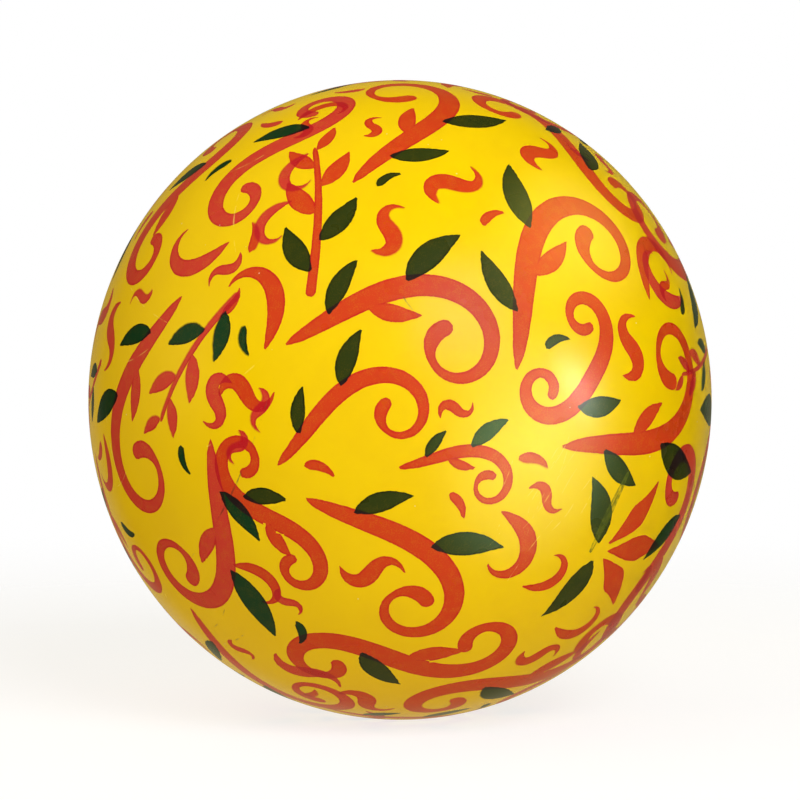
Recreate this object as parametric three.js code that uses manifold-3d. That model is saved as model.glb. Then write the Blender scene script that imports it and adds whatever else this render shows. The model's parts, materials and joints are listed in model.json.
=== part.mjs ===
// Inflatable play ball, in millimetres, +Z up. The origin is on the floor, under the middle of the ball.
// A soft vinyl skin, cast in one piece, holds the air. A valve seat is bonded into its wall, high on the back,
// and a ribbed plug is pulled out of the seat to pump the ball up.

import * as THREE from "three";
import { mergeVertices } from "three/addons/utils/BufferGeometryUtils.js";
import Module from "manifold-3d";

const wasm = await Module();
wasm.setup();

// Skin
const ballWidth = 228; // across the equator
const ballHeight = 234; // pole to pole, before the ball's weight flattens its foot
const skinWall = 0.8;
const footRadius = 14; // flat that the weight presses into the skin where the ball stands
const skinColumns = 48; // facets round the ball
const ringsToEquator = 12; // facets from the foot to the equator, and from there to the crown

// Valve seat
const valveElevation = 38; // degrees that the valve's axis rises above the horizontal, on the back
const collarRim = 2.4; // ring that shows round the plug's head
const collarProud = 0.4; // height of that ring above the skin
const collarChamfer = 0.4;
const flangeWidth = 6; // how far the flange inside the skin reaches past the collar
const flangeThickness = 1.6;
const seatFloor = 2; // material under the plug's head
const boreRadius = 2.5;
const neckWall = 2;
const neckLength = 11; // from the seat's floor to the inner end
const neckTaper = 0.6; // how much the neck narrows to its inner end
const notchRadius = 1.5; // fingernail notch beside the plug's head
const notchDepth = 1.4;
const valveFacets = 32; // facets round the valve

// Valve plug
const headRadius = 4.8;
const headThickness = 1.8;
const headDome = 0.4; // height of the head's crown
const domeSteps = 3;
const headChamfer = 0.4;
const ribHeight = 0.4; // how far the sealing ribs stand out of the stem
const ribWidth = 1.2;
const ribPitch = 2.6;
const ribCount = 3;
const stemLength = 12; // below the head
const tipLength = 2;
const tipRadius = 1;

// The skin and the seat are bonded, and the ribs are wedged in the bore: this gap keeps the pieces apart.
const fitGap = 0.3;

// What follows from the driving dimensions
const equatorRadius = ballWidth / 2;
const poleRadius = ballHeight / 2;
const centreHeight = poleRadius * Math.sqrt(1 - (footRadius / equatorRadius) ** 2);
const recessRadius = headRadius + fitGap;
const collarRadius = recessRadius + collarRim;
const flangeRadius = collarRadius + flangeWidth;
const seatTop = collarProud;
const headUnderside = seatTop - headThickness;
const recessFloor = headUnderside - fitGap;
const flangeUnderside = -(skinWall + fitGap + flangeThickness);
const collarBottom = Math.min(recessFloor - seatFloor, flangeUnderside);
const neckEnd = collarBottom - neckLength;
const neckRadius = boreRadius + neckWall;
const ribRadius = boreRadius - fitGap;
const stemRadius = ribRadius - ribHeight;

// The valve stands square to the skin: its axis is the skin's normal, and its origin is on the skin's outside.
function makeValveGroup() {
  const rise = THREE.MathUtils.degToRad(valveElevation);
  const across = equatorRadius * Math.cos(rise);
  const along = poleRadius * Math.sin(rise);
  const support = Math.hypot(across, along);
  const valve = new THREE.Group();
  valve.position.set(0, (equatorRadius * across) / support, centreHeight + (poleRadius * along) / support);
  valve.rotation.x = rise;
  valve.updateMatrix();
  return valve;
}

function solidFrom(geometry) {
  geometry.deleteAttribute("normal");
  geometry.deleteAttribute("uv");
  const merged = mergeVertices(geometry);
  const vertProperties = merged.getAttribute("position").array;
  const triVerts = merged.getIndex().array;
  return new wasm.Manifold(new wasm.Mesh({ numProp: 3, vertProperties, triVerts }));
}

function geometryFrom(solid) {
  const { vertProperties, triVerts } = solid.getMesh();
  const geometry = new THREE.BufferGeometry();
  geometry.setAttribute("position", new THREE.BufferAttribute(vertProperties, 3));
  geometry.setIndex(new THREE.BufferAttribute(triVerts, 1));
  geometry.computeVertexNormals();
  return geometry;
}

function turned(points, facets) {
  const profile = points.map(([radius, height]) => new THREE.Vector2(radius, height));
  return new THREE.LatheGeometry(profile, facets);
}

function ring(innerRadius, outerRadius, bottom, top, facets) {
  const corners = [
    [innerRadius, bottom],
    [outerRadius, bottom],
    [outerRadius, top],
    [innerRadius, top],
    [innerRadius, bottom],
  ];
  return turned(corners, facets);
}

// The ball's form, drawn in by an inset all over, with its foot flat on the floor.
function ballForm(inset) {
  const inEquator = equatorRadius - inset;
  const inPole = poleRadius - inset;
  const footAngle = -Math.asin((centreHeight - inset) / inPole);
  const points = [[0, inset]];
  for (let step = 0; step < 2 * ringsToEquator; step += 1) {
    const share = step / ringsToEquator - 1; // -1 at the foot, 0 at the equator, 1 at the crown
    const angle = share < 0 ? -share * footAngle : (share * Math.PI) / 2;
    points.push([inEquator * Math.cos(angle), centreHeight + inPole * Math.sin(angle)]);
  }
  points.push([0, centreHeight + inPole]);
  return turned(points, skinColumns).rotateX(Math.PI / 2);
}

// The skin is hollow, and its one opening is the hole that the seat's collar fills.
function makeSkin(valve) {
  const holeRadius = collarRadius + fitGap;
  const hole = new THREE.CylinderGeometry(holeRadius, holeRadius, 2 * flangeRadius, valveFacets);
  hole.applyMatrix4(valve.matrix);
  const shell = solidFrom(ballForm(0)).subtract(solidFrom(ballForm(skinWall)));
  const material = new THREE.MeshStandardMaterial({ color: 0xf5d400, roughness: 0.32, metalness: 0 });
  const skin = new THREE.Mesh(geometryFrom(shell.subtract(solidFrom(hole))), material);
  skin.name = "ball_skin";
  return skin;
}

// The flange follows the inside of the skin, the collar fills the hole and the neck hangs into the ball.
function makeSeat(valve) {
  const toValve = valve.matrix.clone().invert();
  const insideSkin = solidFrom(ballForm(skinWall + fitGap).applyMatrix4(toValve));
  const insideFlange = solidFrom(ballForm(skinWall + fitGap + flangeThickness).applyMatrix4(toValve));
  const flangeBlank = ring(recessRadius + collarRim / 2, flangeRadius, -flangeRadius, flangeRadius, valveFacets);
  const flange = solidFrom(flangeBlank).intersect(insideSkin).subtract(insideFlange);

  const body = [
    [boreRadius, neckEnd],
    [neckRadius - neckTaper, neckEnd],
    [neckRadius, collarBottom],
    [collarRadius, collarBottom],
    [collarRadius, seatTop - collarChamfer],
    [collarRadius - collarChamfer, seatTop],
    [recessRadius, seatTop],
    [recessRadius, recessFloor],
    [boreRadius, recessFloor],
    [boreRadius, neckEnd],
  ];
  const notch = new THREE.CylinderGeometry(notchRadius, notchRadius, 2 * notchDepth, valveFacets);
  notch.translate(0, seatTop, -recessRadius);
  const seatSolid = solidFrom(turned(body, valveFacets)).add(flange).subtract(solidFrom(notch));
  const material = new THREE.MeshStandardMaterial({ color: 0xe2c336, roughness: 0.38, metalness: 0 });
  const seat = new THREE.Mesh(geometryFrom(seatSolid), material);
  seat.name = "valve_seat";
  return seat;
}

// The ribs are saw teeth: sloping towards the tip, square towards the head.
function makePlug() {
  const stemEnd = headUnderside - stemLength;
  const points = [
    [0, stemEnd],
    [tipRadius, stemEnd],
    [stemRadius, stemEnd + tipLength],
  ];
  const firstRib = stemEnd + tipLength + ribPitch - ribWidth;
  for (let rib = 0; rib < ribCount; rib += 1) {
    const foot = firstRib + rib * ribPitch;
    points.push([stemRadius, foot], [ribRadius, foot + ribWidth], [stemRadius, foot + ribWidth]);
  }
  points.push([stemRadius, headUnderside], [headRadius, headUnderside], [headRadius, seatTop - headChamfer]);
  for (let step = 0; step <= domeSteps; step += 1) {
    const share = 1 - step / domeSteps; // 1 at the dome's edge, 0 on the axis
    points.push([share * (headRadius - headChamfer), seatTop + headDome * (1 - share ** 2)]);
  }
  const material = new THREE.MeshStandardMaterial({ color: 0xf1eee2, roughness: 0.45, metalness: 0 });
  const plug = new THREE.Mesh(turned(points, valveFacets), material);
  plug.name = "valve_plug";
  return plug;
}

const ball = new THREE.Group();
const valve = makeValveGroup();
valve.add(makeSeat(valve), makePlug());
ball.add(makeSkin(valve), valve);

export default ball;
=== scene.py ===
import json
import math
import random

import bpy
import numpy as np
from mathutils import Matrix, Quaternion, Vector


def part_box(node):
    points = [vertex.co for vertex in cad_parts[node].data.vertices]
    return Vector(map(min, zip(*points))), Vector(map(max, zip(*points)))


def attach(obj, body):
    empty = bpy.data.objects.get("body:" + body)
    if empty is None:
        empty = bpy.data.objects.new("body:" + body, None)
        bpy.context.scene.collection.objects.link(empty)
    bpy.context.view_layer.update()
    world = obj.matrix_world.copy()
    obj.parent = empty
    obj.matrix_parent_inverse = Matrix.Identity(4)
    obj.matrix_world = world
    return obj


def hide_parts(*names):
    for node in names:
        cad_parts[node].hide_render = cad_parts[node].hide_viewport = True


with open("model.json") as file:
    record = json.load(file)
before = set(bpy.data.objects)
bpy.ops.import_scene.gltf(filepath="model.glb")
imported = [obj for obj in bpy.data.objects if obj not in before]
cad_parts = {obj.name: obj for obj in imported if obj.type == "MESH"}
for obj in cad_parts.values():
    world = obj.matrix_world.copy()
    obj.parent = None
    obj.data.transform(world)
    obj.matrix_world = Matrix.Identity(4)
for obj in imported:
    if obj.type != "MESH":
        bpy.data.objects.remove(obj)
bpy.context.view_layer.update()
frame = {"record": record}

perMetre = 1000  # millimetres

# Where the ball and its valve are, read from the frame (metres)
skinLow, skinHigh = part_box("ball_skin")
footRadius = 0.014  # flat that the ball's weight presses into the skin
equator = (skinHigh[0] - skinLow[0]) / 2
footShare = math.sqrt(1 - (footRadius / equator) ** 2)
pole = (skinHigh[2] - skinLow[2]) / (1 + footShare)
ballCentre = Vector((0, 0, pole * footShare))
meanRadius = (2 * equator + pole) / 3

plugJoint = frame["record"]["behaviour"]["joints"][0]
valveAxis = Vector(plugJoint["axis"]).normalized()
reachOut = Vector((0, equator ** 2 * valveAxis.y, pole ** 2 * valveAxis.z))
reachOut /= math.hypot(equator * valveAxis.y, pole * valveAxis.z)
valveSpot = ballCentre + reachOut  # on the skin's outside, where the skin is square to the valve's axis
valveSide = Vector((1, 0, 0))
valveDown = valveAxis.cross(valveSide)
valvePlace = Matrix((valveSide, valveDown, valveAxis)).transposed().to_4x4()
valvePlace.translation = valveSpot
ballWidth = round(2 * equator * perMetre)
print("frame read: ball", ballWidth, "mm wide, valve at", [round(part, 4) for part in valveSpot])


# Directions from the ball's middle: azimuth 0 is the front and 90 the right, elevation 90 is straight up
def towards(azimuth, elevation):
    turn, rise = math.radians(azimuth), math.radians(elevation)
    return Vector((math.sin(turn) * math.cos(rise), -math.cos(turn) * math.cos(rise), math.sin(rise)))


def lengthOf(vectors):
    return np.linalg.norm(vectors, axis=-1)


def unit(vectors):
    return vectors / lengthOf(vectors)[:, None]


def startPiece(name):
    bpy.context.object.name = name
    bpy.context.object.data.name = name
    return bpy.context.object


def clearSelection():
    if bpy.context.object and bpy.context.object.mode != "OBJECT":
        bpy.ops.object.mode_set(mode="OBJECT")
    bpy.ops.object.select_all(action="DESELECT")


def applyModifier(piece, kind, **settings):
    modifier = piece.modifiers.new(kind.title(), kind)
    for key, value in settings.items():
        setattr(modifier, key, value)
    bpy.context.view_layer.objects.active = piece
    bpy.ops.object.modifier_apply(modifier=modifier.name)


def roundEdges(piece, rounding, look):
    limit = math.radians(look["sharpAngle"])
    steps = look["roundSteps"]
    applyModifier(piece, "BEVEL", width=rounding, segments=steps, limit_method="ANGLE", angle_limit=limit)
    clearSelection()
    piece.select_set(True)
    bpy.context.view_layer.objects.active = piece
    bpy.ops.object.shade_smooth_by_angle(angle=math.radians(look["smoothAngle"]))


# Node helpers
def wire(tree, node, inputs):
    for key, value in inputs.items():
        if isinstance(value, bpy.types.NodeSocket):
            tree.links.new(value, node.inputs[key])
        else:
            node.inputs[key].default_value = value


def addNode(tree, kind, inputs=None, **settings):
    node = tree.nodes.new("ShaderNode" + kind)
    for key, value in settings.items():
        setattr(node, key, value)
    wire(tree, node, inputs or {})
    return node


def compute(tree, operation, *values):
    return addNode(tree, "Math", dict(enumerate(values)), operation=operation).outputs[0]


def measure(tree, operation, *vectors):
    return addNode(tree, "VectorMath", dict(enumerate(vectors)), operation=operation).outputs["Value"]


def split(tree, vector):
    return addNode(tree, "SeparateXYZ", {0: vector}).outputs


def around(tree, value, middle, reach):
    # a noise from 0 to 1 becomes a value up to this far from the middle
    return compute(tree, "MULTIPLY_ADD", value, 2 * reach, middle - reach)


def blendColour(tree, factor, first, second):
    return addNode(tree, "Mix", {0: factor, 6: first, 7: second}, data_type="RGBA").outputs[2]


def stretch(tree, value, low, high, toLow=0.0, toHigh=1.0):
    inputs = {"Value": value, "From Min": low, "From Max": high, "To Min": toLow, "To Max": toHigh}
    return addNode(tree, "MapRange", inputs, interpolation_type="SMOOTHSTEP").outputs["Result"]


def noise(tree, place, scale, detail):
    return addNode(tree, "TexNoise", {"Vector": place, "Scale": scale, "Detail": detail}).outputs["Fac"]


def newMaterial(name):
    material = bpy.data.materials.new(name)
    material.use_nodes = True
    tree = material.node_tree
    place = addNode(tree, "TexCoord").outputs["Object"]
    return material, tree, tree.nodes["Principled BSDF"], place


def newGroup(name, inputs, outputs):
    group = bpy.data.node_groups.new(name, "ShaderNodeTree")
    for socket, kind in inputs.items():
        group.interface.new_socket(socket, in_out="INPUT", socket_type="NodeSocket" + kind)
    for socket, kind in outputs.items():
        group.interface.new_socket(socket, in_out="OUTPUT", socket_type="NodeSocket" + kind)
    return group, group.nodes.new("NodeGroupInput").outputs, group.nodes.new("NodeGroupOutput").inputs


def placeGroup(tree, group, inputs):
    node = tree.nodes.new("ShaderNodeGroup")
    node.node_tree = group
    wire(tree, node, inputs)
    return node.outputs


def finishSurface(tree, shader, colour, gloss, height, look):
    bump = addNode(tree, "Bump", {"Height": height, "Distance": look["grain"]}).outputs["Normal"]
    wire(tree, shader, {"Base Color": colour, "Roughness": gloss, "Normal": bump, "IOR": look["bend"]})


# Camera, a little above the ball's middle and square on to its front
cameraLook = {
    "distance": 1.15,
    "elevation": 3.0,
    "ballShare": 0.8,  # of the picture's height
    "sensor": 36.0,
}


def addCamera(look):
    data = bpy.data.cameras.new("camera")
    data.sensor_width = look["sensor"]
    seenHalf = math.tan(math.asin(pole / look["distance"])) / look["ballShare"]
    data.lens = look["sensor"] / 2 / seenHalf
    camera = bpy.data.objects.new("camera", data)
    bpy.context.scene.collection.objects.link(camera)
    away = towards(0, look["elevation"])
    camera.location = ballCentre + away * look["distance"]
    camera.rotation_euler = (-away).to_track_quat("-Z", "Y").to_euler()
    bpy.context.scene.camera = camera
    bpy.context.scene.view_settings.view_transform = "Standard"


# Stage: a pale glowing floor in a white room, and a flag that keeps the panels' gloss off the ball's back
stageLook = {
    "floorSize": 4.0,
    "fade": (0.2, 0.75),  # the floor thins out into the backdrop between these distances
    "floorShade": (0.26, 0.265, 0.29, 1),
    "floorRoughness": 0.9,
    "floorSheen": 0.1,
    "floorBounce": 0.54,  # light that the floor gives the ball
    "bounceTint": (1.0, 0.81, 0.45, 1),
    "floorGlow": 0.22,  # how much brighter than that the camera sees it
    "backdrop": 1.0,
    "roomLight": 0.46,
    "roomSlope": (-1.6, 0.8, 0.2),  # the room is brighter on the left and behind
    "roomTint": (1.0, 0.87, 0.55, 1),
    "dimSide": (-0.6, -0.68, -0.42),  # and dim at the front, low on the left
    "dimReach": (0.35, 0.85),
    "dimmer": 0.8,
    "rimGloss": 0.56,  # the white backdrop, which only the ball's rim reflects
    "rimReach": (0.7, 0.95),
    "rimRise": (-0.45, 0.15),  # between these heights it falls to a share of that
    "rimAbove": 0.35,
    "flagSize": 0.7,
    "flagShade": (0.05, 0.05, 0.05, 1),
}


def addFloor(look):
    clearSelection()
    bpy.ops.mesh.primitive_plane_add(size=look["floorSize"], location=(0, 0, 0))
    floor = startPiece("studio_floor")
    floor.visible_glossy = False  # panels that are lower than the floor show in the ball too
    paint, tree, shader, place = newMaterial("studioFloor")
    seenDirectly = addNode(tree, "LightPath").outputs["Is Camera Ray"]
    glow = compute(tree, "MULTIPLY_ADD", seenDirectly, look["floorGlow"], look["floorBounce"])
    wire(tree, shader, {
        "Base Color": look["floorShade"],
        "Roughness": look["floorRoughness"],
        "Specular IOR Level": look["floorSheen"],
        "Emission Color": blendColour(tree, seenDirectly, look["bounceTint"], (1, 1, 1, 1)),
        "Emission Strength": glow,
    })
    clear = addNode(tree, "BsdfTransparent").outputs["BSDF"]
    fade = stretch(tree, measure(tree, "LENGTH", place), *look["fade"])
    mix = addNode(tree, "MixShader", {0: fade, 1: shader.outputs["BSDF"], 2: clear})
    wire(tree, tree.nodes["Material Output"], {"Surface": mix.outputs["Shader"]})
    floor.data.materials.append(paint)


# The room is white to the camera, dimmer and warm as light on the ball, and dark in its gloss but at the rim
def addRoom(look):
    world = bpy.data.worlds.new("studio")
    bpy.context.scene.world = world
    world.use_nodes = True
    world.cycles.sampling_method = "NONE"
    tree = world.node_tree
    seen = addNode(tree, "LightPath").outputs
    way = addNode(tree, "TexCoord").outputs["Generated"]
    slope = measure(tree, "DOT_PRODUCT", way, look["roomSlope"])
    level = compute(tree, "MULTIPLY_ADD", slope, look["roomLight"], look["roomLight"])
    dimSide = measure(tree, "DOT_PRODUCT", way, look["dimSide"])
    dimness = stretch(tree, dimSide, *look["dimReach"], 0.0, look["dimmer"])
    level = compute(tree, "MAXIMUM", compute(tree, "SUBTRACT", level, dimness), 0.0)
    axes = split(tree, way)
    gloss = stretch(tree, axes["Y"], *look["rimReach"], 0.0, look["rimGloss"])
    fall = stretch(tree, axes["Z"], *look["rimRise"], 1.0, look["rimAbove"])
    gloss = compute(tree, "MULTIPLY", gloss, fall)
    level = stretch(tree, seen["Is Glossy Ray"], 0.0, 1.0, level, gloss)
    level = stretch(tree, seen["Is Camera Ray"], 0.0, 1.0, level, look["backdrop"])
    tint = blendColour(tree, seen["Is Camera Ray"], look["roomTint"], (1, 1, 1, 1))
    wire(tree, tree.nodes["Background"], {"Color": tint, "Strength": level})


# Two lights bring out the colours, and panels only show as gloss
lightLook = {
    "frontFill": {"azimuth": -12, "elevation": 14, "distance": 2.2, "size": (3.4, 3.4), "watts": 19.7},
    "key": {"azimuth": 25, "elevation": 31, "distance": 1.5, "size": (0.8, 0.8), "watts": 18.4},
}
glossTint = (1.0, 0.93, 0.46)
glossDistance = 1.0
glossLook = {
    "glowPanel": {
        "azimuth": 47,
        "elevation": -14,
        "size": (1.5, 1.8),
        "watts": 135.0,
        "tint": (0.5, 0.8, 0.5),
    },
    "upperPanel": {
        "azimuth": 82,
        "elevation": 42,
        "size": (1.8, 0.9),
        "watts": 38.0,
        "tint": (1.0, 0.95, 0.24),
    },
    "hotLamp": {
        "azimuth": 63,
        "elevation": 5,
        "roll": 28,
        "size": (0.2, 0.5),
        "watts": 12.0,
        "tint": (1.0, 1.0, 1.0),
    },
    "leftPanel": {"azimuth": -76, "elevation": 8, "size": (0.9, 0.9), "watts": 2.3},
    "tableGlow": {"azimuth": 0, "elevation": -90, "distance": 0.6, "size": (3.0, 3.0), "watts": 12.0},
}


def addLight(name, look, glossOnly):
    data = bpy.data.lights.new(name, "AREA")
    data.shape = "RECTANGLE"
    data.size, data.size_y = look["size"]
    data.energy = look["watts"]
    lamp = bpy.data.objects.new(name, data)
    bpy.context.scene.collection.objects.link(lamp)
    lamp.visible_camera = False
    if glossOnly:
        # brightest in its middle and dark at its edge
        lamp.visible_diffuse = False
        data.color = look.get("tint", glossTint)
        data.use_nodes = True
        tree = data.node_tree
        spot = addNode(tree, "NewGeometry").outputs["Parametric"]
        glow = stretch(tree, measure(tree, "DISTANCE", spot, (0.5, 0.5, 0)), 0.0, 0.5, 1.0, 0.0)
        wire(tree, tree.nodes["Emission"], {"Strength": glow})
    else:
        lamp.visible_glossy = False
    away = towards(look["azimuth"], look["elevation"])
    lamp.location = ballCentre + away * look.get("distance", glossDistance)
    roll = Quaternion((0, 0, 1), math.radians(look.get("roll", 0)))
    lamp.rotation_euler = ((-away).to_track_quat("-Z", "Y") @ roll).to_euler()


# The flag stands across the ball's middle, and from the front it is clear
def addFlag(look):
    clearSelection()
    turn = (-math.pi / 2, 0, 0)
    bpy.ops.mesh.primitive_plane_add(size=look["flagSize"], location=ballCentre, rotation=turn)
    bpy.ops.object.transform_apply(location=True, rotation=True, scale=True)
    flag = startPiece("studio_flag")
    flag.visible_camera = False
    flag.visible_diffuse = False
    paint, tree = newMaterial("studioFlag")[:2]
    fromFront = addNode(tree, "NewGeometry").outputs["Backfacing"]
    shade = blendColour(tree, fromFront, look["flagShade"], (1, 1, 1, 1))
    pane = addNode(tree, "BsdfTransparent", {"Color": shade})
    wire(tree, tree.nodes["Material Output"], {"Surface": pane.outputs["BSDF"]})
    flag.data.materials.append(paint)

    # the lights that bring out the colours shine past it
    passed = bpy.data.collections.new("passed")
    passed.objects.link(flag)
    passed.collection_objects[0].light_linking.link_state = "EXCLUDE"
    for lightName in lightLook:
        bpy.data.objects[lightName].light_linking.blocker_collection = passed


addCamera(cameraLook)
addFloor(stageLook)
addRoom(stageLook)
for lightName, lightSettings in lightLook.items():
    addLight(lightName, lightSettings, glossOnly=False)
for lightName, lightSettings in glossLook.items():
    addLight(lightName, lightSettings, glossOnly=True)
addFlag(stageLook)
print("camera, floor and light set")

# Skin: two cubes cut into small squares and blown up to the ball's outside and inside, and joined
# at the valve's hole
skinLook = {
    "outerSquares": 118,  # along each side of the cube
    "innerSquares": 44,
    "wall": 0.0008,
    "holeRadius": 0.0076,
    "rounding": 0.00015,  # of the hole's rim
    "roundSteps": 2,
    "sharpAngle": 50,
    "smoothAngle": 40,
    "footBlend": 0.0001,
    "footReach": 20,  # in blends: any higher, the foot changes nothing
}


def readSpots(mesh):
    spots = np.empty(len(mesh.vertices) * 3)
    mesh.vertices.foreach_get("co", spots)
    return spots.reshape(-1, 3)


def blowUp(ways, inset):
    half = np.array((equator, equator, pole)) - inset
    spots = unit(ways) * half
    spots[:, 2] += ballCentre.z
    lift = (spots[:, 2] - inset) / skinLook["footBlend"]  # the foot is pressed flat
    pressed = inset + skinLook["footBlend"] * np.logaddexp(lift, 0)
    spots[:, 2] = np.where(lift < skinLook["footReach"], pressed, spots[:, 2])
    return spots


def fromValve(spots):
    # how high above the valve's spot, and how far off its axis
    away = spots - np.array(valveSpot)
    height = away @ np.array(valveAxis)
    across = away - height[:, None] * np.array(valveAxis)
    return height, across


def openHole(shell, spots, inset, look):
    # squares in the valve's hole go, and the edge that is left is drawn onto its circle
    height, across = fromValve(spots)
    inHole = (lengthOf(across) < look["holeRadius"]) & (height > -look["holeRadius"])
    shell.data.vertices.foreach_set("select", inHole)
    bpy.ops.object.mode_set(mode="EDIT")
    bpy.ops.mesh.select_mode(type="VERT")
    bpy.ops.mesh.delete(type="VERT")
    bpy.ops.mesh.select_all(action="SELECT")
    bpy.ops.mesh.region_to_loop()
    bpy.ops.object.mode_set(mode="OBJECT")
    spots = readSpots(shell.data)
    onEdge = np.array([vertex.select for vertex in shell.data.vertices])
    height, across = fromValve(spots[onEdge])
    across *= look["holeRadius"] / lengthOf(across)[:, None]
    circle = np.array(valveSpot) + across + height[:, None] * np.array(valveAxis)
    half = (equator - inset, equator - inset, pole - inset)
    spots[onEdge] = blowUp((circle - np.array(ballCentre)) / half, inset)
    shell.data.vertices.foreach_set("co", spots.ravel())


def makeShell(name, squares, inset, look):
    clearSelection()
    bpy.ops.mesh.primitive_cube_add(size=2, location=(0, 0, 0))
    shell = startPiece(name)
    bpy.ops.object.mode_set(mode="EDIT")
    bpy.ops.mesh.select_all(action="SELECT")
    bpy.ops.mesh.subdivide(number_cuts=1)
    bpy.ops.mesh.subdivide(number_cuts=squares // 2 - 1)
    bpy.ops.mesh.select_all(action="DESELECT")
    bpy.ops.object.mode_set(mode="OBJECT")
    spots = blowUp(np.tan(readSpots(shell.data) * math.pi / 4), inset)  # the tangent evens out the squares
    shell.data.vertices.foreach_set("co", spots.ravel())
    openHole(shell, spots, inset, look)
    return shell


def makeSkin(look):
    inside = makeShell("skin_inside", look["innerSquares"], look["wall"], look)
    bpy.ops.object.mode_set(mode="EDIT")
    bpy.ops.mesh.select_all(action="SELECT")
    bpy.ops.mesh.flip_normals()
    skin = makeShell("printed_skin", look["outerSquares"], 0.0, look)
    clearSelection()
    inside.select_set(True)
    skin.select_set(True)
    bpy.context.view_layer.objects.active = skin
    bpy.ops.object.join()
    bpy.ops.object.mode_set(mode="EDIT")
    bpy.ops.mesh.select_all(action="SELECT")
    bpy.ops.mesh.region_to_loop()
    bpy.ops.mesh.bridge_edge_loops()
    bpy.ops.object.mode_set(mode="OBJECT")
    roundEdges(skin, look["rounding"], look)
    return skin


skin = makeSkin(skinLook)
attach(skin, "ball")
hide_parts("ball_skin")
print("skin made:", len(skin.data.polygons), "faces")

# Pattern: red scrolls, sprigs and petals with dark green leaves, sprayed through four masks that cover
# a quarter of the ball each. Neighbouring masks overlap a little, and the ink is twice as deep there.
printLook = {
    "seed": 5,
    "pointStep": 0.0008,  # along a stroke
    "fewestPoints": 6,
    "thinnest": 0.0002,  # half width of a stroke's tip
    "slimEnd": 0.0012,  # an end with less half width than this runs out to a point
    "pointSlope": 0.35,
    "bareGap": 0.0024,  # least bare skin between two motifs of one mask
    "knownBand": 0.003,  # how far outside a stroke the skin still knows where its edge is
    "farOut": -5.0,  # millimetres, where it doesn't
    "cornerSearch": 8,  # points to each side of the one that a face found
    "quarter": 45.0,
    "spread": 1.2,  # how far from a mask's middle a motif is tried, in quarters
    "highest": 0.999,  # and how far up or down, as a share of the ball's radius
    "overlap": 0.1,  # how far a mask reaches into the next, as a share of the ball's radius
    "sway": 28.0,
    "lengths": (0.9, 1.1),
    "tries": 260,
    "crispEdge": 0.1,  # millimetres over which the ink ends
    "softEdge": 0.5,
    "softShare": 0.15,
    "coreReach": (0.25, 0.95),  # millimetres inside its edge over which a stroke takes on its inner tone
    "masks": [
        {"spray": "First", "azimuth": 17, "flow": 20, "twist": 45},
        {"spray": "Second", "azimuth": -73, "flow": 255, "twist": -40},
        {"spray": "First", "azimuth": 197, "flow": 100, "twist": 35},
        {"spray": "Second", "azimuth": 107, "flow": 200, "twist": -30},
    ],
    "motifs": [  # what is laid, the length of its main stroke and how many in each mask, large ones first
        ("leafScroll", 0.135, 5),
        ("doubleScroll", 0.150, 3),
        ("palmette", 0.036, 3),
        ("leafScroll", 0.100, 8),
        ("sprig", 0.058, 5),
        ("doubleScroll", 0.105, 6),
        ("palmette", 0.026, 8),
        ("leafScroll", 0.072, 16),
        ("sprig", 0.040, 12),
        ("hook", 0.046, 20),
        ("wave", 0.032, 26),
        ("hook", 0.030, 30),
        ("wave", 0.020, 40),
        ("comma", 0.012, 60),
    ],
}
leafLook = {"root": 0.5, "spread": 0.85, "curl": 0.5, "lean": 0.85, "fullness": 0.9}
share = np.linspace(0, 1, 160)  # along any stroke
laneOverlap = 3  # points that the stretches of a stroke run past a cut


def swell(thin, fat, lean=1, fullness=1):
    # half width of a stroke that is thin at both ends, fattest before its middle if lean is under 1
    return thin + fat * np.sin(math.pi * share ** lean) ** fullness


def bulb(place, fat, start, length):
    # half width that a round end adds
    rise = np.clip((place - start) / length, 0, 1)
    return fat * (rise ** 2 * (3 - 2 * rise))


def brushStroke(colour, swing, width, start=(0, 0), heading=0, length=1, lane=0):
    # swing is how far the heading has turned, and width the half width, at each share of the stroke
    angle = heading + swing
    x = start[0] + np.append(0, np.cumsum(np.cos(angle[:-1]))) * length / (len(angle) - 1)
    y = start[1] + np.append(0, np.cumsum(np.sin(angle[:-1]))) * length / (len(angle) - 1)
    return {"colour": colour, "lane": lane, "x": x, "y": y, "angle": angle, "width": width}


def leafOn(stem, at, side, length, fat, colour="green", lane=0):
    # a pointed leaf that springs from a stem, side 1 for its left and -1 for its right
    point = round(at * (len(share) - 1))
    out = stem["angle"][point] + side * math.pi / 2
    reach = leafLook["root"] * stem["width"][point]
    start = (stem["x"][point] + math.cos(out) * reach, stem["y"][point] + math.sin(out) * reach)
    heading = stem["angle"][point] + side * leafLook["spread"]
    swing = -side * leafLook["curl"] * share
    width = swell(0, fat * length, leafLook["lean"], leafLook["fullness"])
    return brushStroke(colour, swing, width, start, heading, length, lane)


def inLanes(stroke, *cuts):
    # cuts a stroke at these shares into stretches that overlap a little and lie in two lanes in turn
    stretches = []
    ends = [0, *[round(cut * (len(share) - 1)) for cut in cuts], len(share) - 1]
    for lane, (first, last) in enumerate(zip(ends, ends[1:])):
        kept = slice(max(0, first - laneOverlap), last + laneOverlap + 1)
        stretches.append({"colour": stroke["colour"], "lane": lane % 2})
        stretches[-1].update({key: stroke[key][kept] for key in ("x", "y", "angle", "width")})
    return stretches


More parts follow.
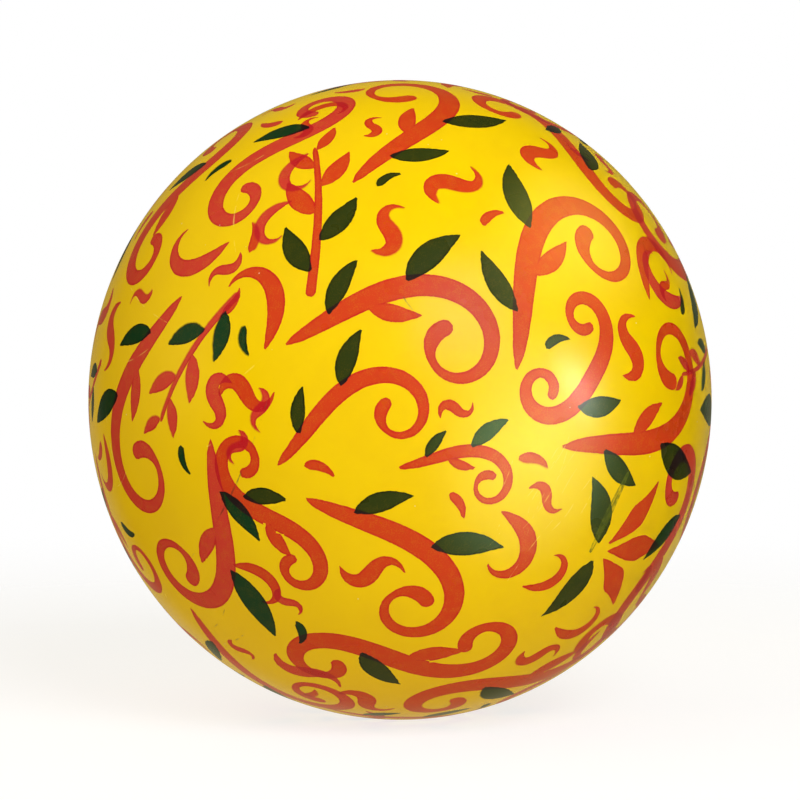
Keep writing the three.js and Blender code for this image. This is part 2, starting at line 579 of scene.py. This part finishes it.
def leafScroll(draw):
    # a stem that winds up into a coil with a round end, and leaves on both its sides
    coil, counter = draw.uniform(7.2, 8.6), draw.uniform(0.4, 1.4)
    width = swell(thin=0.004, fat=0.027, lean=0.65) + bulb(share, fat=0.018, start=0.88, length=0.1)
    stem = brushStroke("red", coil * share ** 2.5 - counter * share, width)
    leaves = [
        leafOn(stem, at=0.14, side=-1, length=0.17, fat=0.16),
        leafOn(stem, at=0.36, side=-1, length=draw.uniform(0.19, 0.24), fat=0.17),
    ]
    if draw.random() < 0.5:
        leaves.append(leafOn(stem, at=0.24, side=1, length=0.15, fat=0.16, colour="red", lane=1))
    return [*inLanes(stem, 0.7), *leaves]


def doubleScroll(draw):
    # winds up at both ends, the two coils on one side or on opposite sides, with leaves in its middle
    coil = draw.uniform(5.2, 6.2)
    fromMiddle = 2 * share - 1
    swing = coil * np.abs(fromMiddle) ** 2.1 * (1 if draw.random() < 0.6 else np.sign(fromMiddle))
    width = 0.006 + 0.025 * (1 - fromMiddle ** 2)
    width += bulb(np.abs(fromMiddle), fat=0.011, start=0.8, length=0.18)
    stem = brushStroke("red", swing, width)
    leaves = [leafOn(stem, at=0.4, side=-1, length=draw.uniform(0.15, 0.2), fat=0.18)]
    if draw.random() < 0.5:
        leaves.append(leafOn(stem, at=0.5, side=1, length=0.14, fat=0.18, colour="red", lane=1))
    return [*inLanes(stem, 0.25, 0.75), *leaves]


def palmette(draw):
    # petals fanned from one foot, the outer ones curling away, and a leaf on each side of the foot
    strokes = []
    petals = ((0, 0.1, 1.0), (0.62, 0.5, 0.9), (-0.62, -0.5, 0.9))  # heading, curl and length of each
    for lane, (heading, curl, length) in enumerate(petals):
        width = swell(thin=0.02, fat=0.13, lean=1.1, fullness=1.2)
        start = (0.14 * math.cos(heading), 0.14 * math.sin(heading))
        strokes.append(brushStroke("red", curl * share ** 1.5, width, start, heading, length, min(lane, 1)))
    for side in (1, -1):
        width = swell(thin=0, fat=0.15, lean=0.75) * draw.uniform(0.7, 1.0)
        start, heading = (-0.04, side * 0.1), side * 1.7
        strokes.append(brushStroke("green", side * 0.6 * share, width, start, heading, length=0.8))
    return strokes


def sprig(draw):
    # a thin bent stem with leaves in turn on its left and right, the first ones green
    stem = brushStroke("red", draw.uniform(-0.8, 0.8) * share, 0.03 - 0.014 * share)
    strokes = [stem]
    for at, side, length in ((0.12, 1, 0.34), (0.3, -1, 0.34)):
        strokes.append(leafOn(stem, at, side, length, fat=0.19))
    for at, side, length in ((0.48, 1, 0.32), (0.66, -1, 0.3), (0.82, 1, 0.26), (0.97, -1, 0.22)):
        strokes.append(leafOn(stem, at, side, length, fat=0.19, colour="red", lane=1))
    return strokes


def hook(draw):
    swing = draw.uniform(3.0, 4.0) * share ** 1.8
    return [brushStroke("red", swing, swell(thin=0.006, fat=0.07, lean=0.8, fullness=1.1))]


def wave(draw):
    swing = draw.uniform(0.9, 1.4) * np.cos(2 * math.pi * share)
    return [brushStroke("red", swing, swell(thin=0.008, fat=0.09, lean=0.8, fullness=1.3))]


def comma(draw):
    colour = draw.choice(("red", "red", "green"))
    return [brushStroke(colour, 1.3 * share, swell(thin=0.012, fat=0.14, lean=0.6, fullness=0.8))]


motifShapes = {
    shape.__name__: shape for shape in (leafScroll, doubleScroll, palmette, sprig, hook, wave, comma)
}


def evenPoints(x, y, width, look):
    along = np.append(0, np.cumsum(np.hypot(np.diff(x), np.diff(y))))
    even = np.linspace(0, along[-1], max(look["fewestPoints"], round(along[-1] / look["pointStep"])))
    return np.interp(even, along, x), np.interp(even, along, y), np.interp(even, along, width)


def wrap(x, y, azimuth, elevation, heading):
    # a flat stroke laid onto the ball round one place, as directions from the ball's middle
    out = np.array(towards(azimuth, elevation))
    east = np.array(towards(azimuth + 90, 0))
    north = np.cross(out, east)
    turn = math.radians(heading)
    offset = np.outer(x * math.cos(turn) - y * math.sin(turn), east)
    offset += np.outer(x * math.sin(turn) + y * math.cos(turn), north)
    angle = lengthOf(offset) / meanRadius
    return out * np.cos(angle)[:, None] + offset / meanRadius * np.sinc(angle / math.pi)[:, None]


def squareAt(ways):
    # which square of the blown-up cube lies in each direction
    squares = skinLook["outerSquares"]
    rows = np.arange(len(ways))
    main = np.abs(ways).argmax(axis=1)
    largest = ways[rows, main]
    flat = np.stack((ways[rows, (main + 1) % 3], ways[rows, (main + 2) % 3])) / np.abs(largest)
    grid = (np.arctan(flat) * 4 / math.pi + 1) / 2 * squares
    column, row = np.clip(grid.astype(int), 0, squares - 1)
    return ((main * 2 + (largest > 0)) * squares + column) * squares + row


def readOuterFaces(skin):
    mesh = skin.data
    vertexOf = np.empty(len(mesh.loops), int)
    mesh.loops.foreach_get("vertex_index", vertexOf)
    firstLoop, loopCount = np.empty((2, len(mesh.polygons)), int)
    mesh.polygons.foreach_get("loop_start", firstLoop)
    mesh.polygons.foreach_get("loop_total", loopCount)
    normals = np.empty(len(mesh.polygons) * 3)
    mesh.polygons.foreach_get("normal", normals)
    ways = unit((readSpots(mesh) - np.array(ballCentre)) / (equator, equator, pole))
    squares = np.nonzero(loopCount == 4)[0]
    loops = firstLoop[squares][:, None] + np.arange(4)
    corners = ways[vertexOf[loops]]
    # only faces that point away from the ball's middle are printed
    outward = (corners.mean(axis=1) * normals.reshape(-1, 3)[squares]).sum(axis=1) > 0.5
    corners = corners[outward]
    middles = unit(corners.mean(axis=1))
    faceAt = np.full(6 * skinLook["outerSquares"] ** 2, -1)
    faceAt[squareAt(middles)] = np.arange(len(middles))
    # stays bare: a ring round the valve
    awayFromValve = lengthOf(middles - np.array(reachOut.normalized())) * meanRadius
    bare = awayFromValve < skinLook["holeRadius"] + printLook["bareGap"]
    return {
        "mesh": mesh,
        "loops": loops[outward],
        "corners": corners,
        "middles": middles,
        "faceAt": faceAt,
        "taken": {"First": bare.copy(), "Second": bare.copy()},
        "layers": {},
    }


def sideWays(line):
    forward = unit(np.gradient(line, axis=0))
    return forward, np.cross(line, forward)


def isFree(sheet, line, width, spray):
    offset = sideWays(line)[1] * (width / meanRadius)[:, None]
    faces = sheet["faceAt"][squareAt(np.concatenate((line, line - offset, line + offset)))]
    return faces.min() >= 0 and not sheet["taken"][spray][faces].any()


def fitsMask(line, mask, look):
    for way in (1, -1):
        beyond = line @ np.array(towards(mask["azimuth"] + way * (look["quarter"] + 90), 0))
        if beyond.max() > look["overlap"]:
            return False
    return True


def pointEnds(width, look):
    fromStart = np.arange(len(width)) * look["pointStep"]
    for end, distance in ((0, fromStart), (-1, fromStart[::-1])):
        if look["thinnest"] < width[end] < look["slimEnd"]:
            width = np.minimum(width, look["thinnest"] + look["pointSlope"] * distance)
    return width


def insideEdges(corners, line, width, point):
    # how far inside a stroke's left and right edges the corners of faces lie: each corner finds its own
    # point of the stroke, close to the one that its face found, and past its ends the stroke is round
    search = printLook["cornerSearch"]
    window = np.clip(point[:, None] + np.arange(-search, search + 1), 0, len(line) - 1)
    gaps = lengthOf(corners[:, :, None] - line[window][:, None])
    point = np.take_along_axis(window, gaps.argmin(axis=2), axis=1)
    forward, side = sideWays(line)
    offset = corners - line[point]
    along = (offset * forward[point]).sum(axis=2)
    across = (offset * side[point]).sum(axis=2) * meanRadius
    left, right = width[point] + across, width[point] - across
    beyond = ((point == 0) & (along < 0)) | ((point == len(line) - 1) & (along > 0))
    rounded = width[point] - gaps.min(axis=2) * meanRadius
    left[beyond], right[beyond] = rounded[beyond], rounded[beyond]
    return left, right


def layStroke(sheet, layerName, line, width, softness, spray=None):
    # the corners of the faces along a stroke learn how far inside its edges they lie, in mm
    band = printLook["knownBand"]
    if layerName not in sheet["layers"]:
        unknown = (printLook["farOut"], printLook["farOut"], printLook["crispEdge"])
        edges = np.tile(unknown, (len(sheet["mesh"].loops), 1))
        sheet["layers"][layerName] = {"edges": edges, "depth": np.full(len(sheet["middles"]), -band)}
    layer = sheet["layers"][layerName]
    middle = line.mean(axis=0)
    reach = lengthOf(line - middle).max() + (width.max() + band) / meanRadius
    near = np.nonzero(lengthOf(sheet["middles"] - middle) < reach)[0]
    away = lengthOf(sheet["middles"][near, None] - line) * meanRadius
    if spray:
        sheet["taken"][spray][near[(width - away).max(axis=1) > -printLook["bareGap"]]] = True
        width = pointEnds(width, printLook)
    inside = width - away
    point = inside.argmax(axis=1)
    deepest = inside[np.arange(len(near)), point]
    wins = deepest > layer["depth"][near]
    near, point = near[wins], point[wins]
    layer["depth"][near] = deepest[wins]
    left, right = insideEdges(sheet["corners"][near], line, width, point)
    values = np.stack((left * perMetre, right * perMetre, np.full_like(left, softness)), axis=2)
    layer["edges"][sheet["loops"][near]] = values


def placeMotif(sheet, mask, kind, length, draw, look):
    azimuth = mask["azimuth"] + draw.uniform(-look["spread"], look["spread"]) * look["quarter"]
    elevation = math.degrees(math.asin(draw.uniform(-look["highest"], look["highest"])))
    heading = mask["flow"] + mask["twist"] * math.sin(math.radians(2 * elevation))
    heading += draw.uniform(-look["sway"], look["sway"])
    flip = draw.choice((-1, 1))
    length *= draw.uniform(*look["lengths"])
    soft = draw.random() < look["softShare"]
    strokes = motifShapes[kind](draw)
    middle = np.mean([(stroke["x"].mean(), stroke["y"].mean()) for stroke in strokes], axis=0)
    laid = []
    for stroke in strokes:
        x, y = (stroke["x"] - middle[0]) * length, (stroke["y"] - middle[1]) * length * flip
        x, y, width = evenPoints(x, y, stroke["width"] * length, look)
        width = np.maximum(width, look["thinnest"])
        line = wrap(x, y, azimuth, elevation, heading)
        if not fitsMask(line, mask, look) or not isFree(sheet, line, width, mask["spray"]):
            return False
        laid.append((stroke["colour"] + mask["spray"] + str(stroke["lane"]), line, width))
    for layerName, line, width in laid:
        layStroke(sheet, layerName, line, width, look["softEdge" if soft else "crispEdge"], mask["spray"])
    return True


def printPattern(sheet, look):
    draw = random.Random(look["seed"])
    for mask in look["masks"]:
        laid = 0
        for kind, length, wanted in look["motifs"]:
            done = 0
            for _ in range(look["tries"]):
                if done == wanted:
                    break
                done += placeMotif(sheet, mask, kind, length, draw, look)
            laid += done
        print("sprayed", laid, "motifs through the mask at", mask["azimuth"], "degrees")


sheet = readOuterFaces(skin)
printPattern(sheet, printLook)
for colour in ("red", "green"):
    covered = [layer["depth"] > 0 for name, layer in sheet["layers"].items() if name.startswith(colour)]
    print(colour, "ink on", round(100 * float(np.any(covered, axis=0).mean()), 1), "% of the skin")

# Wear: dark rubbed lines, pale scratches and one smear of green ink, each placed by its middle
wearLook = {
    "seed": 11,
    "edge": 0.12,  # millimetres over which a mark ends
    "columns": ("azimuth", "elevation", "heading", "length", "bend", "width"),
    "scuffs": [
        (-30, -12, 236, 0.082, -0.35, 0.0003),
        (-45, -39, 38, 0.017, 0.2, 0.0003),
        (-42, -43, 30, 0.011, 0.1, 0.0003),
        (2, 18, -50, 0.012, 0.3, 0.0003),
    ],
    "smears": [(41, -17, 250, 0.03, 0.15, 0.0017)],
    "scratches": [
        (27, -13, 62, 0.03, 0.25, 0.0002),
        (25, -15, 70, 0.022, -0.2, 0.0002),
        (31, -17, 55, 0.018, 0.3, 0.0002),
        (-26, 8, 40, 0.02, 0.2, 0.0002),
        (-54, 9, 20, 0.016, 0.2, 0.0002),
    ],
    "strays": {  # on the sides and the back
        "azimuth": (70, 330),
        "highest": 0.95,  # as a share of the ball's radius
        "shortest": 0.2,  # as a share of the longest
        "bend": 0.4,
        "width": 0.00025,
    },
    "strayScuffs": {"count": 14, "longest": 0.06},
    "strayScratches": {"count": 36, "longest": 0.04},
    "hairlines": {  # fine scratches, side by side at the front right
        "count": 16,
        "longest": 0.03,
        "azimuth": (14, 36),
        "elevation": (-26, -4),
        "heading": (50, 74),
        "width": 0.00014,
    },
}


def layWear(sheet, layerName, mark):
    length = mark["length"]
    x, y = length * (share - 0.5), length * mark["bend"] * (share - 0.5) ** 2
    width = mark["width"] * swell(thin=0.35, fat=0.65)
    x, y, width = evenPoints(x, y, width, printLook)
    line = wrap(x, y, mark["azimuth"], mark["elevation"], mark["heading"])
    layStroke(sheet, layerName, line, width, wearLook["edge"])


def strayMark(draw, longest, look):
    return {
        "azimuth": draw.uniform(*look["azimuth"]),
        "elevation": math.degrees(math.asin(draw.uniform(-look["highest"], look["highest"]))),
        "heading": draw.uniform(0, 360),
        "length": longest * draw.uniform(look["shortest"], 1.0) ** 1.5,  # more are short than long
        "bend": draw.uniform(-look["bend"], look["bend"]),
        "width": look["width"],
    }


def strayMarks(draw, marks, look):
    return [strayMark(draw, marks["longest"], look) for _ in range(marks["count"])]


def chosenMarks(rows, look):
    return [dict(zip(look["columns"], row)) for row in rows]


def wearSkin(sheet, look):
    draw = random.Random(look["seed"])
    scuffs = chosenMarks(look["scuffs"], look)
    scuffs += strayMarks(draw, look["strayScuffs"], look["strays"])
    smears = chosenMarks(look["smears"], look)
    scratches = chosenMarks(look["scratches"], look)
    scratches += strayMarks(draw, look["strayScratches"], look["strays"])
    hairlines = look["hairlines"]
    for _ in range(hairlines["count"]):
        fine = strayMark(draw, hairlines["longest"], look["strays"])
        for key in ("azimuth", "elevation", "heading"):
            fine[key] = draw.uniform(*hairlines[key])
        fine["width"] = hairlines["width"]
        scratches.append(fine)
    for layerName, marks in (("scuff", scuffs), ("smear", smears), ("scratch", scratches)):
        for mark in marks:
            layWear(sheet, layerName, mark)
    print("wear laid:", len(scuffs), "scuffs and", len(scratches), "scratches")


wearSkin(sheet, wearLook)
for layerName, layer in sheet["layers"].items():
    attribute = skin.data.attributes.new(layerName, "FLOAT_VECTOR", "CORNER")
    attribute.data.foreach_set("vector", layer["edges"].ravel())


# A sprayed edge: ink where a place is inside both edges of a stroke, of which the left one can be soft.
# Core grows from 0 at the edge to 1 inside.
def sprayedEdgeGroup(look):
    group, given, result = newGroup(
        "sprayedEdge", {"Edges": "Vector", "Wander": "Float"}, {"Ink": "Float", "Core": "Float"}
    )
    edges = split(group, given["Edges"])
    left = compute(group, "ADD", edges["X"], given["Wander"])
    right = compute(group, "ADD", edges["Y"], given["Wander"])
    softSide = stretch(group, left, compute(group, "MULTIPLY", edges["Z"], -1.0), edges["Z"])
    crispSide = stretch(group, right, -look["crispEdge"], look["crispEdge"])
    core = stretch(group, compute(group, "MINIMUM", left, right), *look["coreReach"])
    wire(group, result[0].node, {"Ink": compute(group, "MULTIPLY", softSide, crispSide), "Core": core})
    return group


# Dust: a round speck in some of the cells that space is parted into
dustLook = {"cells": 210.0, "speck": (0.03, 0.075)}


def dustGroup(look):
    group, given, result = newGroup("dustSpecks", {"Place": "Vector", "Amount": "Float"}, {"Dust": "Float"})
    cells = addNode(group, "TexVoronoi", {"Vector": given["Place"], "Scale": look["cells"]}).outputs
    pick = addNode(group, "SeparateColor", {0: cells["Color"]}).outputs["Red"]
    dot = stretch(group, cells["Distance"], *look["speck"], 1.0, 0.0)
    chosen = compute(group, "LESS_THAN", pick, given["Amount"])
    wire(group, result[0].node, {"Dust": compute(group, "MULTIPLY", dot, chosen)})
    return group


sprayedEdge = sprayedEdgeGroup(printLook)
dustSpecks = dustGroup(dustLook)

# Colours are linear; each ink has a deeper tone at the edge of a stroke than inside it
vinylLook = {
    "yellow": (0.86, 0.585, 0.0, 1),
    "deepYellow": (0.84, 0.56, 0.0, 1),
    "redFirst": ((0.54, 0.012, 0.009, 1), (0.60, 0.044, 0.007, 1)),
    "redSecond": ((0.52, 0.010, 0.015, 1), (0.60, 0.040, 0.024, 1)),
    "doubleRed": (0.48, 0.009, 0.016, 1),
    "greenFirst": ((0.010, 0.016, 0.003, 1), (0.028, 0.040, 0.005, 1)),
    "greenSecond": ((0.004, 0.020, 0.006, 1), (0.005, 0.042, 0.012, 1)),
    "greenOnRed": (0.016, 0.009, 0.010, 1),
    "scuff": (0.035, 0.030, 0.012, 1),
    "smear": (0.10, 0.12, 0.010, 1),
    "scratch": (0.95, 0.74, 0.12, 1),
    "dust": (0.85, 0.80, 0.62, 1),
    "marked": {"scuff": 0.6, "smear": 0.85, "scratch": 0.45, "dust": 0.5},  # how much each kind covers
    "dusty": 0.06,  # share of the cells with a speck
    "noises": {  # scale and detail of each
        "speckle": (2300, 2),
        "mottle": (300, 3),
        "cloud": (45, 3),
        "wavyEdge": (240, 2),
        "roughEdge": (1300, 2),
        "dashes": (180, 4),
        "ragged": (520, 3),
        "unevenness": (320, 2),
    },
    "wander": {"wavyEdge": 0.15, "roughEdge": 0.12},  # millimetres, to each side of a stroke's true edge
    "mottled": 0.6,  # how much mottle there is to one of speckle
    "shown": {  # the part of a noise that counts, and what it becomes
        "cloud": (0.35, 0.68, 0.0, 1.0),
        "core": (0.4, 1.0, 0.6, 1.1),
        "red": (0.55, 0.85, 0.9, 1.0),
        "green": (0.55, 0.85, 0.965, 1.0),
        "dashes": (0.44, 0.66, 0.0, 1.0),
        "streaks": (0.2, 0.5, 0.0, 1.0),
        "ragged": (0.34, 0.62, 0.35, 1.0),
    },
    "streaks": {"across": 1.4, "along": 90.0, "detail": 4},  # scales per mm across and per metre of height
    "roughness": 0.24,
    "uneven": 0.05,
    "rougher": {"ink": 0.04, "wear": 0.2},
    "raised": {"ink": 0.35, "wear": -0.5},
    "bend": 1.3,  # index of refraction: a dull gloss
    "grain": 0.000012,
}


def inkOf(tree, names, wander):
    ink, core = 0.0, 0.0
    for name in names:
        edges = addNode(tree, "Attribute", attribute_name=name).outputs["Vector"]
        spray = placeGroup(tree, sprayedEdge, {"Edges": edges, "Wander": wander})
        ink = compute(tree, "MAXIMUM", ink, spray["Ink"])
        core = compute(tree, "MAXIMUM", core, spray["Core"])
    return ink, core


def sprayInks(tree, look, noises, wander):
    shown = look["shown"]
    grain = compute(tree, "MULTIPLY_ADD", noises["mottle"], look["mottled"], noises["speckle"])
    inner = stretch(tree, grain, *shown["core"])
    dense = {ink: stretch(tree, grain, *shown[ink]) for ink in ("red", "green")}

    def toned(core, tones):
        return blendColour(tree, compute(tree, "MULTIPLY", core, inner), *tones)

    cloudy = stretch(tree, noises["cloud"], *shown["cloud"])
    colour = blendColour(tree, cloudy, look["yellow"], look["deepYellow"])
    red = {}
    for spray in ("First", "Second"):
        ink, core = inkOf(tree, [f"red{spray}0", f"red{spray}1"], wander)
        red[spray] = compute(tree, "MULTIPLY", ink, dense["red"])
        tone = toned(core, look["red" + spray])
        if spray == "Second":
            tone = blendColour(tree, red["First"], tone, look["doubleRed"])
        colour = blendColour(tree, red[spray], colour, tone)
    inked = compute(tree, "MAXIMUM", red["First"], red["Second"])
    for spray in ("First", "Second"):
        ink, core = inkOf(tree, [f"green{spray}0"], wander)
        tone = blendColour(tree, inked, toned(core, look["green" + spray]), look["greenOnRed"])
        colour = blendColour(tree, compute(tree, "MULTIPLY", ink, dense["green"]), colour, tone)
        inked = compute(tree, "MAXIMUM", inked, ink)
    return colour, inked


def wearMarks(tree, look, noises, wander, place):
    shown, streakLook = look["shown"], look["streaks"]
    dashes = stretch(tree, noises["dashes"], *shown["dashes"])
    # a smear is drawn out along its length: streaks that differ across it and hardly along it
    smearEdges = addNode(tree, "Attribute", attribute_name="smear").outputs["Vector"]
    across = compute(tree, "MULTIPLY", split(tree, smearEdges)["X"], streakLook["across"])
    along = compute(tree, "MULTIPLY", split(tree, place)["Z"], streakLook["along"])
    streaks = addNode(tree, "CombineXYZ", {"X": across, "Y": along}).outputs["Vector"]
    streaks = stretch(tree, noise(tree, streaks, 1.0, streakLook["detail"]), *shown["streaks"])
    streaks = compute(tree, "MULTIPLY", streaks, stretch(tree, noises["ragged"], *shown["ragged"]))
    marks = {}
    for name, broken in (("scuff", dashes), ("smear", streaks), ("scratch", dashes)):
        marks[name] = compute(tree, "MULTIPLY", inkOf(tree, [name], wander)[0], broken)
    marks["dust"] = placeGroup(tree, dustSpecks, {"Place": place, "Amount": look["dusty"]})["Dust"]
    return marks


def printedVinyl(look):
    material, tree, shader, place = newMaterial("printedVinyl")
    noises = {name: noise(tree, place, *settings) for name, settings in look["noises"].items()}
    wander = 0.0
    for name, reach in look["wander"].items():
        wander = compute(tree, "ADD", wander, around(tree, noises[name], 0.0, reach))
    colour, inked = sprayInks(tree, look, noises, wander)
    marks = wearMarks(tree, look, noises, wander, place)
    for name, mark in marks.items():
        amount = compute(tree, "MULTIPLY", mark, look["marked"][name])
        colour = blendColour(tree, amount, colour, look[name])

    # ink is duller than bare vinyl and stands a little proud, and marks are duller still and sunk
    worn = compute(tree, "MAXIMUM", marks["scuff"], marks["scratch"])
    gloss = around(tree, noises["cloud"], look["roughness"], look["uneven"])
    height = noises["unevenness"]
    for cause, amount in (("ink", inked), ("wear", worn)):
        gloss = compute(tree, "MULTIPLY_ADD", amount, look["rougher"][cause], gloss)
        height = compute(tree, "MULTIPLY_ADD", amount, look["raised"][cause], height)
    finishSurface(tree, shader, colour, gloss, height, look)
    return material


skin.data.materials.append(printedVinyl(vinylLook))
print("skin printed and painted")

# Turned pieces of the valve: a circle takes the profile, (radius, height) in millimetres, and is spun
# round the axis
turnedLook = {"mergeGap": 0.000002, "roundSteps": 3, "sharpAngle": 24, "smoothAngle": 40}


def turnPiece(name, profile, steps):
    clearSelection()
    bpy.ops.mesh.primitive_circle_add(vertices=len(profile), radius=1, location=(0, 0, 0))
    piece = startPiece(name)
    for vertex, (radius, height) in zip(piece.data.vertices, profile):
        vertex.co = (radius / perMetre, 0, height / perMetre)
    bpy.ops.object.mode_set(mode="EDIT")
    bpy.ops.mesh.select_all(action="DESELECT")
    bpy.ops.object.mode_set(mode="OBJECT")
    for edge in piece.data.edges:
        edge.select = all(profile[index][0] == 0 for index in edge.vertices)
    bpy.ops.object.mode_set(mode="EDIT")
    bpy.ops.mesh.select_mode(type="EDGE")
    bpy.ops.mesh.delete(type="EDGE")  # an edge along the axis would be spun to nothing
    bpy.ops.mesh.select_all(action="SELECT")
    bpy.ops.mesh.spin(steps=steps, angle=2 * math.pi, center=(0, 0, 0), axis=(0, 0, 1))
    bpy.ops.mesh.select_all(action="SELECT")
    bpy.ops.mesh.remove_doubles(threshold=turnedLook["mergeGap"])
    bpy.ops.mesh.normals_make_consistent(inside=False)
    bpy.ops.object.mode_set(mode="OBJECT")
    return piece


def finishTurned(piece, rounding):
    roundEdges(piece, rounding, turnedLook)
    piece.data.transform(valvePlace)


# Seat: the ring that shows round the plug, the flange under the skin and the neck with its bore (mm)
seatLook = {
    "recess": 5.1,
    "collar": 7.5,
    "proud": 0.4,
    "chamfer": 0.4,
    "floor": -1.7,
    "bottom": -3.7,
    "bore": 2.5,
    "lip": 0.3,
    "neck": 4.5,
    "neckTaper": 0.6,
    "neckEnd": -14.7,
    "flange": 13.5,
    "flangeTop": -1.1,
    "flangeBottom": -2.7,
    "flangeRings": 5,
    "notchRadius": 1.5,
    "notchDepth": 1.4,
    "notchSteps": 48,
    "rounding": 0.00012,  # metres
    "steps": 96,
}


def makeSeat(look):
    def underSkin(radius, height):
        # the skin falls away from the valve
        return radius, height - radius ** 2 / (2 * perMetre * meanRadius)

    flangeRings = np.linspace(look["flange"], look["collar"], look["flangeRings"])
    profile = [
        (look["bore"], look["neckEnd"]),
        (look["neck"] - look["neckTaper"], look["neckEnd"]),
        (look["neck"], look["bottom"]),
        (look["collar"], look["bottom"]),
        *[underSkin(radius, look["flangeBottom"]) for radius in flangeRings[::-1]],
        *[underSkin(radius, look["flangeTop"]) for radius in flangeRings],
        (look["collar"], look["proud"] - look["chamfer"]),
        (look["collar"] - look["chamfer"], look["proud"]),
        (look["recess"] + look["lip"], look["proud"]),
        (look["recess"], look["proud"] - look["lip"]),
        (look["recess"], look["floor"]),
        (look["bore"] + look["lip"], look["floor"]),
        (look["bore"], look["floor"] - look["lip"]),
    ]
    seat = turnPiece("seat_ring", profile, look["steps"])

    # notch for a fingernail, on the lower side of the recess
    clearSelection()
    bpy.ops.mesh.primitive_cylinder_add(
        vertices=look["notchSteps"],
        radius=look["notchRadius"] / perMetre,
        depth=look["notchDepth"] * 2 / perMetre,
        location=(0, look["recess"] / perMetre, look["proud"] / perMetre),
    )
    notch = startPiece("notch_cutter")
    applyModifier(seat, "BOOLEAN", object=notch, operation="DIFFERENCE", solver="EXACT")
    bpy.data.objects.remove(notch)
    finishTurned(seat, look["rounding"])
    return seat


seat = makeSeat(seatLook)
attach(seat, "ball")
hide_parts("valve_seat")
print("seat made:", len(seat.data.polygons), "faces")

# Plug: a domed head with a gate mark, and a ribbed stem (mm)
plugLook = {
    "head": 4.8,
    "headTop": 0.4,
    "headUnder": -1.4,
    "chamfer": 0.4,
    "dome": 0.4,
    "domeRings": 7,
    "gate": 0.9,
    "gateSlope": 0.25,
    "gateDepth": 0.18,
    "stem": 1.8,
    "rib": 2.2,
    "ribWidth": 1.2,
    "ribPitch": 2.6,
    "ribCount": 3,
    "firstRib": -10.0,
    "tip": 1.0,
    "tipLength": 2.0,
    "tipEnd": -13.4,
    "rounding": 0.0001,  # metres
    "steps": 72,
}


def makePlug(look):
    profile = [(0, look["tipEnd"]), (look["tip"], look["tipEnd"])]
    profile.append((look["stem"], look["tipEnd"] + look["tipLength"]))
    for rib in range(look["ribCount"]):
        foot = look["firstRib"] + rib * look["ribPitch"]
        shoulder = foot + look["ribWidth"]
        profile += [(look["stem"], foot), (look["rib"], shoulder), (look["stem"], shoulder)]
    profile += [(look["stem"], look["headUnder"]), (look["head"], look["headUnder"])]
    profile.append((look["head"], look["headTop"] - look["chamfer"]))
    edge = look["head"] - look["chamfer"]
    for radius in np.linspace(edge, look["gate"], look["domeRings"]):
        profile.append((radius, look["headTop"] + look["dome"] * (1 - (radius / edge) ** 2)))
    floor = look["headTop"] + look["dome"] - look["gateDepth"]
    profile += [(look["gate"] - look["gateSlope"], floor), (0, floor)]
    plug = turnPiece("pull_plug", profile, look["steps"])
    finishTurned(plug, look["rounding"])
    return plug


plug = makePlug(plugLook)
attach(plug, "plug")
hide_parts("valve_plug")
print("plug made:", len(plug.data.polygons), "faces")

# Unprinted vinyl of the seat and off-white plastic of the plug, and what the two have in common
seatFinish = {
    "colour": (0.80, 0.50, 0.004, 1),
    "worn": (0.72, 0.43, 0.012, 1),
    "dust": (0.30, 0.24, 0.10, 1),
    "roughness": 0.36,
    "bend": 1.5,
    "grain": 0.000008,
}
plugFinish = {
    "colour": (0.80, 0.76, 0.64, 1),
    "worn": (0.70, 0.64, 0.48, 1),
    "dust": (0.30, 0.26, 0.18, 1),
    "roughness": 0.42,
    "bend": 1.5,
    "grain": 0.000006,
}
mouldedLook = {
    "cloud": (380, 3),  # scale and detail
    "texture": (2600, 3),
    "wornCloud": (0.42, 0.72),
    "uneven": 0.08,
    "finerDust": (4, 4, 4),
    "dusty": 0.14,
    "dustCover": 0.7,
}


def mouldedPlastic(name, look, shared):
    material, tree, shader, place = newMaterial(name)
    cloud = noise(tree, place, *shared["cloud"])
    colour = blendColour(tree, stretch(tree, cloud, *shared["wornCloud"]), look["colour"], look["worn"])
    finer = addNode(tree, "VectorMath", {0: place, 1: shared["finerDust"]}, operation="MULTIPLY").outputs[0]
    dust = placeGroup(tree, dustSpecks, {"Place": finer, "Amount": shared["dusty"]})["Dust"]
    colour = blendColour(tree, compute(tree, "MULTIPLY", dust, shared["dustCover"]), colour, look["dust"])
    gloss = around(tree, cloud, look["roughness"], shared["uneven"])
    finishSurface(tree, shader, colour, gloss, noise(tree, place, *shared["texture"]), look)
    return material


seat.data.materials.append(mouldedPlastic("seatVinyl", seatFinish, mouldedLook))
plug.data.materials.append(mouldedPlastic("plugPlastic", plugFinish, mouldedLook))
print("seat and plug painted")
